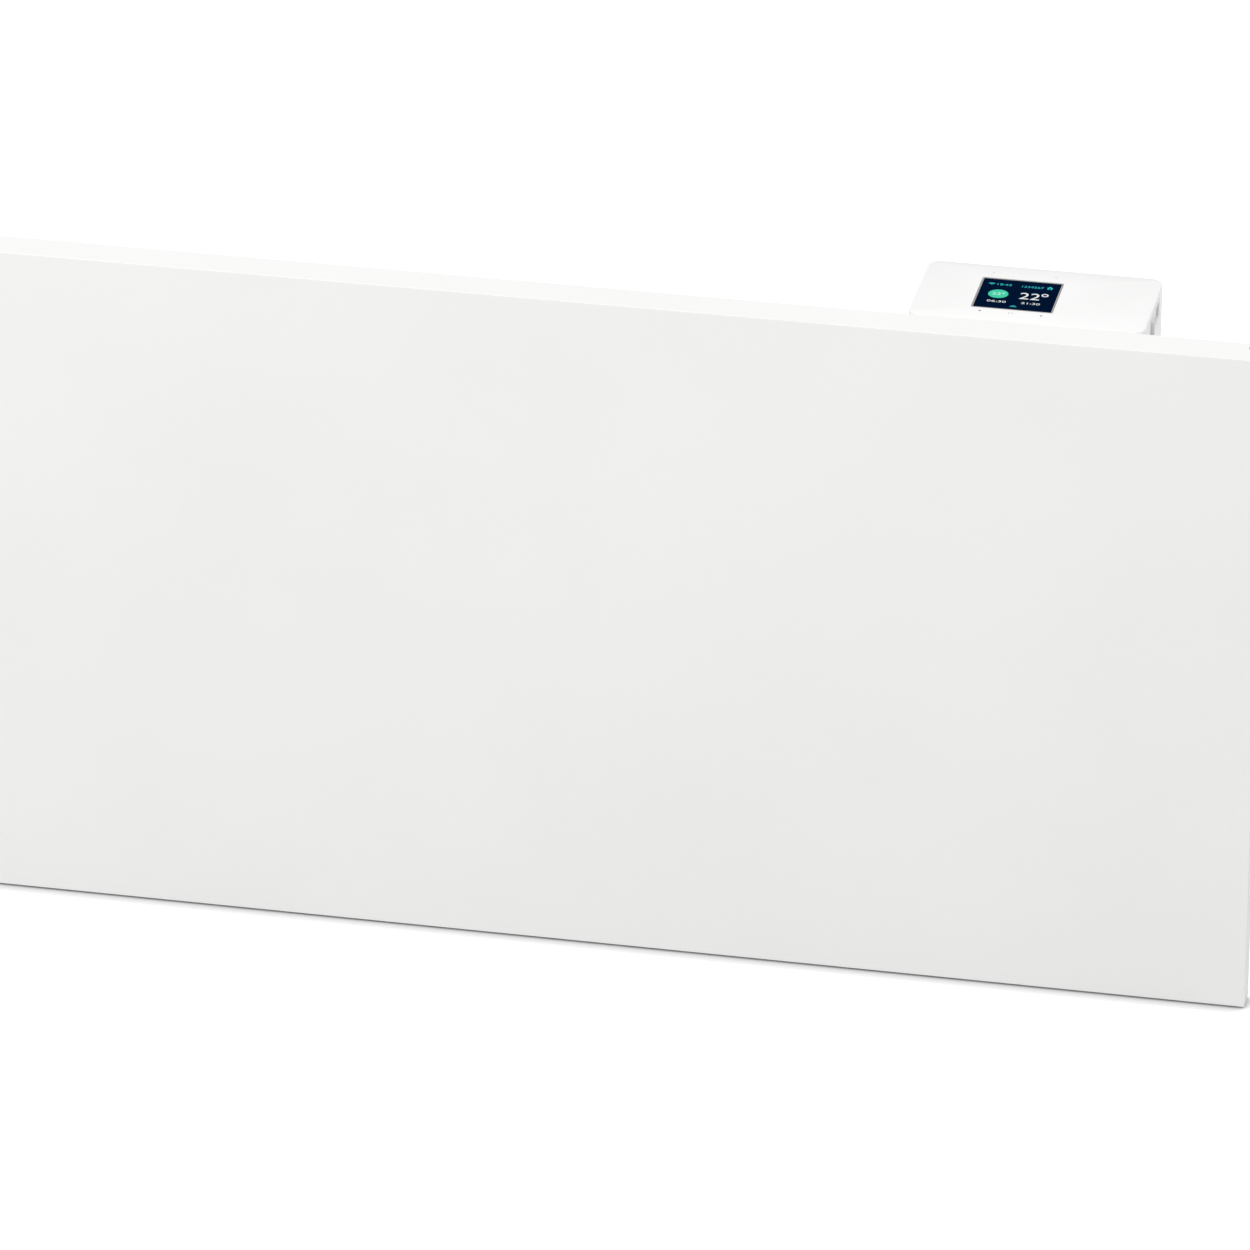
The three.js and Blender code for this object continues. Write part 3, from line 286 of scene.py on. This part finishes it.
WHITE = (0.89, 0.89, 0.883)
finishes = {
    "white_steel": powder_coat("white_powder_coat", WHITE),
    "white_plastic": moulded("white_moulding", (0.90, 0.90, 0.895), gloss=0.2),
    "pale_plastic": moulded("pale_moulding", (0.84, 0.842, 0.84), gloss=0.2),
    "zinc_steel": zinc_plate("zinc_plate", (0.66, 0.68, 0.70)),
    "raw_aluminium": extruded_aluminium("mill_aluminium", (0.76, 0.77, 0.78)),
    "dark_steel": dull_steel("dull_steel", (0.22, 0.23, 0.24)),
    "ceramic_white": ceramic("ceramic", (0.80, 0.76, 0.68)),
    "screen_glass": screen("screen_glass", (0.0004, 0.0045, 0.018)),
    "frame_grey": moulded("frame_grey", (0.36, 0.35, 0.35)),
    "black_plastic": moulded("black_moulding", (0.015, 0.016, 0.018), (0.42, 0.58)),
    "board_green": circuit_board("circuit_board", (0.015, 0.10, 0.045)),
    "red_silicone": rubber("red_silicone", (0.36, 0.045, 0.03)),
    "blue_silicone": rubber("blue_silicone", (0.045, 0.11, 0.36)),
    "grey_rubber": rubber("grey_rubber", (0.15, 0.155, 0.16)),
}
for entry in record["subparts"]:
    mesh = nodes[entry["node"]].data
    mesh.materials.clear()
    mesh.materials.append(finishes[entry["material_slot"]])

body_of = {node: body for body, names in record["behaviour"]["bodies"].items() for node in names}
slot_of = {entry["node"]: entry["material_slot"] for entry in record["subparts"]}


# ---- Shapes ----
def new_object(name, mesh, material, body="heater"):
    thing = bpy.data.objects.new(name, mesh)
    bpy.context.scene.collection.objects.link(thing)
    mesh.materials.clear()
    mesh.materials.append(material)
    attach(thing, body)
    return thing


def stand_in(node, mesh):
    thing = new_object(node + "_form", mesh, finishes[slot_of[node]], body_of[node])
    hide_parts(node)


def copied_mesh(node):
    mesh = nodes[node].data.copy()
    mesh.name = node + "_form"
    return mesh


def smoothed(node, angle=38, bevel=0.0, beyond_x=0.0):
    """Stands in for a CAD node: the same form with welded faces and smooth curves. With a bevel, its sharp
    edges that lie beyond the given x are eased."""
    mesh = copied_mesh(node)
    bm = bmesh.new()
    bm.from_mesh(mesh)
    bmesh.ops.remove_doubles(bm, verts=bm.verts, dist=WELD)
    bmesh.ops.dissolve_limit(bm, angle_limit=FLAT_ANGLE, verts=bm.verts, edges=bm.edges)
    bmesh.ops.recalc_face_normals(bm, faces=bm.faces)
    limit = math.radians(angle)
    if bevel:
        sharp = [e for e in bm.edges if len(e.link_faces) == 2 and e.calc_face_angle(0) > limit]
        eased = [e for e in sharp if min(v.co.x for v in e.verts) > beyond_x]
        bmesh.ops.bevel(
            bm,
            geom=eased,
            offset=bevel,
            segments=3,
            profile=0.5,
            affect="EDGES",
            clamp_overlap=True,
        )
    for face in bm.faces:
        face.smooth = True
    for edge in bm.edges:
        edge.smooth = len(edge.link_faces) == 2 and edge.calc_face_angle(0) < limit
    bm.to_mesh(mesh)
    bm.free()
    stand_in(node, mesh)


ROUND_NODES = [
    "module_cap",
    "module_base",
    "cable_gland",
    "wall_bumper_left",
    "wall_bumper_right",
    "wall_latch_left",
    "wall_latch_right",
    "wall_rail",
    "element_sheath",
    "element_bush_left",
    "element_bush_right",
    "live_lead",
    "neutral_lead",
    "sensor_lead",
    "supply_lead",
    "thermal_cutout",
    "room_sensor",
    "capacitor",
    "grommet_upper",
    "grommet_lower",
]
ROCKER_EASE = 1.0 * MM
ROCKER_EASED_BAND = 3.6 * MM
for node in ROUND_NODES:
    smoothed(node)
eased_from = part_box("switch_rocker")[1].x - ROCKER_EASED_BAND
smoothed("switch_rocker", angle=50, bevel=ROCKER_EASE, beyond_x=eased_from)

FOLD_RADIUS = 1.2 * MM
FOLD_END = FOLD_RADIUS + 0.01 * MM
FOLD_TOLERANCE = 0.03 * MM
TIGHT_FOLD = 0.4 * MM


def tight_fold(node):
    """Stands in for the panel: the same form with a tighter fold round its front. Its flat faces stay."""
    mesh = copied_mesh(node)
    low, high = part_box(node)
    share = TIGHT_FOLD / FOLD_RADIUS
    limits = [(axis, side[axis]) for axis in (0, 2) for side in (low, high)]
    for vert in mesh.vertices:
        depth = vert.co.y - low.y
        if depth > FOLD_END:
            continue
        inset = FOLD_RADIUS - math.sqrt(max(0.0, FOLD_RADIUS**2 - (FOLD_RADIUS - depth) ** 2))
        gaps = [(axis, edge, abs(edge - vert.co[axis])) for axis, edge in limits]
        near = [(axis, edge) for axis, edge, gap in gaps if abs(gap - inset) < FOLD_TOLERANCE]
        for axis, edge in near:
            vert.co[axis] = edge + (vert.co[axis] - edge) * share
        if near:
            vert.co.y = low.y + depth * share
    stand_in(node, mesh)


tight_fold("front_panel")


# ---- The display's figures, the marks round it ----
# Each draw function works in millimetres, at the height that it is given in metres.
SCREEN_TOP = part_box("display_glass")[1].z
FACE_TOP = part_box("module_cap")[1].z
PRINT_THICKNESS = 0.04 * MM
ON_SCREEN = SCREEN_TOP + 0.01 * MM
ON_DISC = ON_SCREEN + 0.05 * MM
IN_FACE = FACE_TOP - 0.03 * MM


def text_faces(bm, words, x0, x1, y0, y1, z):
    """Plain figures filled as flat faces, fitted to a box in millimetres."""
    curve = bpy.data.curves.new("figures", "FONT")
    curve.body = words
    curve.resolution_u = 6
    holder = bpy.data.objects.new("figures", curve)
    bpy.context.scene.collection.objects.link(holder)
    bpy.context.view_layer.update()
    mesh = bpy.data.meshes.new_from_object(holder.evaluated_get(bpy.context.evaluated_depsgraph_get()))
    xs = [v.co.x for v in mesh.vertices]
    ys = [v.co.y for v in mesh.vertices]
    for v in mesh.vertices:
        along = (v.co.x - min(xs)) / (max(xs) - min(xs))
        rise = (v.co.y - min(ys)) / (max(ys) - min(ys))
        v.co = Vector(((x0 + (x1 - x0) * along) * MM, (y0 + (y1 - y0) * rise) * MM, z))
    bm.from_mesh(mesh)
    bpy.data.objects.remove(holder)
    bpy.data.curves.remove(curve)
    bpy.data.meshes.remove(mesh)


def polygon(bm, points, z):
    bm.faces.new([bm.verts.new((x * MM, y * MM, z)) for x, y in points])


def ring(bm, x, y, outer, inner, z, start=0.0, end=360.0, steps=32):
    angles = [math.radians(start + (end - start) * i / steps) for i in range(steps + 1)]
    for a, b in zip(angles, angles[1:]):
        inside = [(inner, b), (inner, a)] if inner else [(0, b)]
        points = [(outer, a), (outer, b), *inside]
        polygon(bm, [(x + r * math.cos(t), y + r * math.sin(t)) for r, t in points], z)


def bar(bm, x0, x1, y0, y1, z):
    polygon(bm, [(x0, y0), (x1, y0), (x1, y1), (x0, y1)], z)


def flat_piece(name, draw, z, material):
    """Faces drawn at one height, given a little thickness and set on the face under them."""
    bm = bmesh.new()
    draw(bm, z)
    bmesh.ops.remove_doubles(bm, verts=bm.verts, dist=WELD)
    bmesh.ops.recalc_face_normals(bm, faces=bm.faces)
    for face in bm.faces:
        if face.normal.z < 0:
            face.normal_flip()
    raised = bmesh.ops.extrude_face_region(bm, geom=bm.faces[:])
    bmesh.ops.translate(
        bm,
        verts=[v for v in raised["geom"] if isinstance(v, bmesh.types.BMVert)],
        vec=(0, 0, PRINT_THICKNESS),
    )
    bmesh.ops.recalc_face_normals(bm, faces=bm.faces)
    mesh = bpy.data.meshes.new(name)
    bm.to_mesh(mesh)
    bm.free()
    new_object(name, mesh, material)


def white_figures(bm, z):
    text_faces(bm, "22", 222.2, 233.4, -43.2, -34.8, z)
    ring(bm, 235.8, -36.1, 2.0, 1.15, z)
    text_faces(bm, "06:30", 205.4, 216.0, -50.0, -47.6, z)
    text_faces(bm, "21:30", 224.5, 234.9, -49.6, -47.2, z)


def disc_figures(bm, z):
    text_faces(bm, "22", 206.7, 211.6, -40.6, -37.2, z)
    ring(bm, 212.9, -37.7, 0.8, 0.4, z)


def cyan_figures(bm, z):
    for radius in (0.9, 1.75, 2.6):
        ring(bm, 204.4, -27.4, radius, radius - 0.5 if radius > 1 else 0, z, 40, 140, 12)
    text_faces(bm, "18:45", 207.6, 215.6, -27.4, -25.0, z)
    text_faces(bm, "1234567", 221.4, 233.6, -27.8, -25.4, z)
    polygon(bm, [(235.2, -26.2), (238.8, -26.2), (237, -23.9)], z)
    bar(bm, 235.7, 236.6, -28, -26.2, z)
    bar(bm, 237.4, 238.3, -28, -26.2, z)
    ring(bm, 220.9, -54.6, 1.9, 1.4, z, 0, 180, 20)
    ring(bm, 220.9, -54.6, 0.9, 0, z, 0, 180, 16)


def green_disc(bm, z):
    ring(bm, 210.1, -38.9, 5.6, 0, z, steps=64)


def dark_marks(bm, z):
    ring(bm, 203.9, -63.4, 0.62, 0, z, steps=20)
    ring(bm, 238.1, -63.7, 0.62, 0, z, steps=20)


def grey_marks(bm, z):
    ring(bm, 203.1, -12.0, 0.42, 0, z, steps=16)
    bar(bm, 237.0, 238.9, -12.0, -11.6, z)
    arrow = [(-1.5, 0), (-0.5, 1), (-0.5, 0.5), (-1, 0), (-0.5, -0.5), (-0.5, -1)]
    for side in (1, -1):
        polygon(bm, [(221.1 + side * x, -63.4 + side * y) for x, y in arrow], z)


flat_piece("display_disc", green_disc, ON_SCREEN, lit("mint_light", (0.03, 0.64, 0.38)))
flat_piece("display_disc_figures", disc_figures, ON_DISC, lit("pale_light", (0.55, 0.92, 0.78)))
flat_piece("display_figures", white_figures, ON_SCREEN, lit("white_light", (0.86, 0.88, 0.9)))
flat_piece("display_symbols", cyan_figures, ON_SCREEN, lit("cyan_light", (0.01, 0.5, 0.55)))
flat_piece("touch_marks_dark", dark_marks, IN_FACE, ink("dark_ink", (0.03, 0.03, 0.035)))
flat_piece("touch_marks_grey", grey_marks, IN_FACE, ink("grey_ink", (0.42, 0.42, 0.43)))


# ---- Floor, light ----
FLOOR_GAP = 1.2 * MM
FLOOR_HALF_WIDTH = 30
FLOOR_LIFT = 0.88
# Reach and depth of the contact shadow painted on the floor through its white lift.
CONTACT_REACH = 16 * MM
CONTACT_DEPTH = 2.0
AMBIENT = 0.79


def floor_material():
    """A pale matt floor, lifted to white where the camera sees it. Close beside the object the lift is
    dimmed by ambient occlusion, which paints a contact shadow there.
    """
    s = Shader("pale_floor")
    s.set("Roughness", 0.9)
    s.set("Specular IOR Level", 0.0)
    s.link(s.ramp(s.noise(3, 2), (0.49, 0.49, 0.49), (0.51, 0.51, 0.51)), s.shader.inputs["Base Color"])
    path = s.add("ShaderNodeLightPath").outputs
    seen = s.maths("MAXIMUM", path["Is Camera Ray"], path["Is Glossy Ray"])
    seen = s.maths("MAXIMUM", seen, path["Is Transmission Ray"])
    # Painted shadow: the white lift is cut where ambient occlusion finds the object near, so this contact
    # shade is painted, not cast.
    painted_contact_shade = s.add("ShaderNodeAmbientOcclusion")
    painted_contact_shade.inputs["Distance"].default_value = CONTACT_REACH
    lift = s.maths("MULTIPLY", s.maths("POWER", painted_contact_shade.outputs["AO"], CONTACT_DEPTH), FLOOR_LIFT)
    glow = s.add("ShaderNodeEmission")
    s.link(s.maths("MULTIPLY", lift, seen), glow.inputs["Strength"])
    both = s.add("ShaderNodeAddShader")
    s.link(s.shader.outputs["BSDF"], both.inputs[0])
    s.link(glow.outputs["Emission"], both.inputs[1])
    s.link(both.outputs[0], s.output.inputs["Surface"])
    return s.material


floor_mesh = bpy.data.meshes.new("floor")
floor_z = cad_box[0].z - FLOOR_GAP
signs = ((-1, -1), (1, -1), (1, 1), (-1, 1))
corners = [(FLOOR_HALF_WIDTH * x, FLOOR_HALF_WIDTH * y, floor_z) for x, y in signs]
floor_mesh.from_pydata(corners, [], [(0, 1, 2, 3)])
floor = bpy.data.objects.new("floor", floor_mesh)
floor_mesh.materials.append(floor_material())
bpy.context.scene.collection.objects.link(floor)


def lamp(name, place, target, size, power):
    data = bpy.data.lights.new(name, "AREA")
    data.shape = "DISK"
    data.size = size
    data.energy = power
    thing = bpy.data.objects.new(name, data)
    thing.location = place
    thing.rotation_euler = (Vector(target) - Vector(place)).to_track_quat("-Z", "Y").to_euler()
    bpy.context.scene.collection.objects.link(thing)


lamp("key_light", place=(-0.75, -2.4, 2.0), target=(-0.05, 0, 0), size=1.8, power=41)
lamp("right_fill", place=(2.6, 0.5, 1.3), target=(0.25, 0, 0.05), size=1.2, power=10)


def soft_room():
    """White all round, at full strength for the camera and at the ambient level for the object."""
    world = bpy.data.worlds.new("soft_room")
    world.use_nodes = True
    tree = world.node_tree
    tree.nodes.clear()
    path = tree.nodes.new("ShaderNodeLightPath")
    mix = tree.nodes.new("ShaderNodeMixShader")
    out = tree.nodes.new("ShaderNodeOutputWorld")
    tree.links.new(path.outputs["Is Camera Ray"], mix.inputs["Fac"])
    for place, strength in ((1, AMBIENT), (2, 1.0)):
        white = tree.nodes.new("ShaderNodeBackground")
        white.inputs["Color"].default_value = (1, 1, 1, 1)
        white.inputs["Strength"].default_value = strength
        tree.links.new(white.outputs[0], mix.inputs[place])
    tree.links.new(mix.outputs[0], out.inputs["Surface"])
    return world


bpy.context.scene.world = soft_room()
bpy.context.scene.view_settings.view_transform = "Standard"

bpy.context.view_layer.update()
